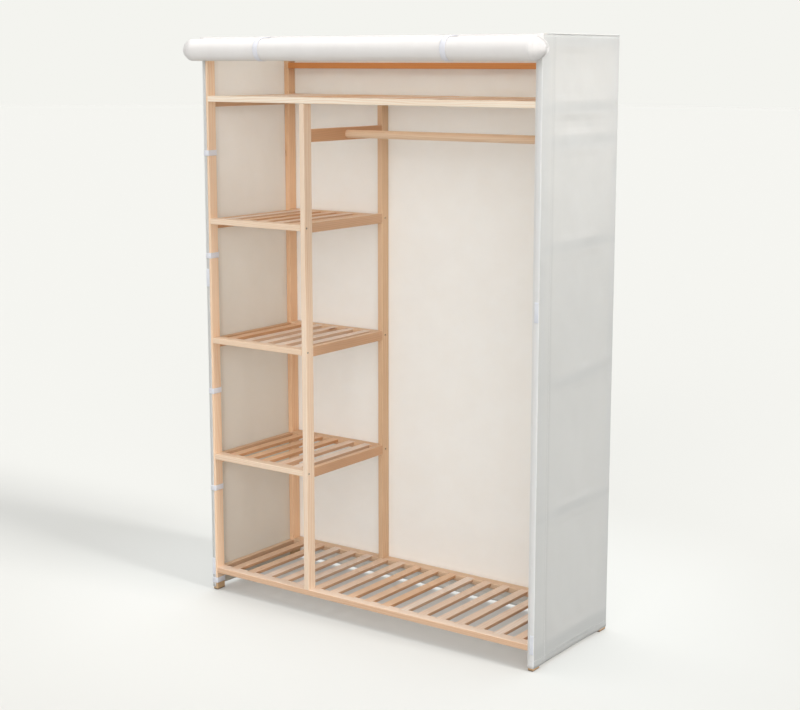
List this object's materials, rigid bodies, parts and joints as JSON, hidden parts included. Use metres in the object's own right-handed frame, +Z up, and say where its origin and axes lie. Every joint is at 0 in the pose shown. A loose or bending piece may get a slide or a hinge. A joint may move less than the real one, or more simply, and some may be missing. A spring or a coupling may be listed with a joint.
{
  "type": "fabric wardrobe",
  "caption": "Freestanding wardrobe of slim pine laths with slatted shelves, a hanging rod, a fitted cloth cover and a front curtain rolled up under the roof's edge.",
  "frame": {"origin": "centre of the footprint, on the floor", "axes": "+Z up, -Y out of the open front, +X to the right as seen from the front"},
  "size_m": [1.27, 0.4909, 1.7495],
  "materials": {
    "pine": "matt clear pine",
    "pine_light": "matt clear pine",
    "steel": "zinc plated",
    "cloth": "matt non-woven",
    "tape": "matt woven"
  },
  "bodies": {
    "wardrobe": {"post_front_left": "pine_light", "post_front_right": "pine_light", "post_back_left": "pine_light", "post_back_right": "pine_light", "post_front_middle": "pine_light", "post_back_middle": "pine_light", "bottom_rail_front": "pine", "bottom_rail_back": "pine", "bottom_slats": "pine_light", "lower_rail_front": "pine", "lower_rail_back": "pine", "lower_slats": "pine_light", "middle_rail_front": "pine", "middle_rail_back": "pine", "middle_slats": "pine_light", "upper_rail_front": "pine", "upper_rail_back": "pine", "upper_slats": "pine_light", "top_rail_front": "pine", "top_rail_back": "pine", "top_slats": "pine_light", "roof_rail_front": "pine", "roof_rail_back": "pine", "brace_rail_back": "pine", "left_cross_bottom": "pine", "left_cross_lower": "pine", "left_cross_middle": "pine", "left_cross_upper": "pine", "left_cross_top": "pine", "left_cross_roof": "pine", "right_cross_bottom": "pine", "right_cross_lower": "pine", "right_cross_middle": "pine", "right_cross_upper": "pine", "right_cross_top": "pine", "right_cross_roof": "pine", "column_cross_lower": "pine", "column_cross_middle": "pine", "column_cross_upper": "pine", "rod_rail_left": "pine", "rod_rail_right": "pine", "hanging_rod": "pine_light", "frame_screws": "steel", "frame_dowels": "pine", "cover_left": "cloth", "cover_right": "cloth", "cover_back": "cloth", "cover_roof": "cloth", "facing_left": "cloth", "facing_right": "cloth", "post_ties": "tape", "closure_patches": "tape"},
    "curtain": {"curtain_roll": "cloth", "roll_ties": "tape"}
  },
  "joints": [
    {"name": "curtain_flip", "type": "hinge", "parent": "wardrobe", "child": "curtain", "pos_m": [0, -0.2105, 1.7495], "axis": [-1, 0, 0], "range_deg": [0, 180]}
  ]
}
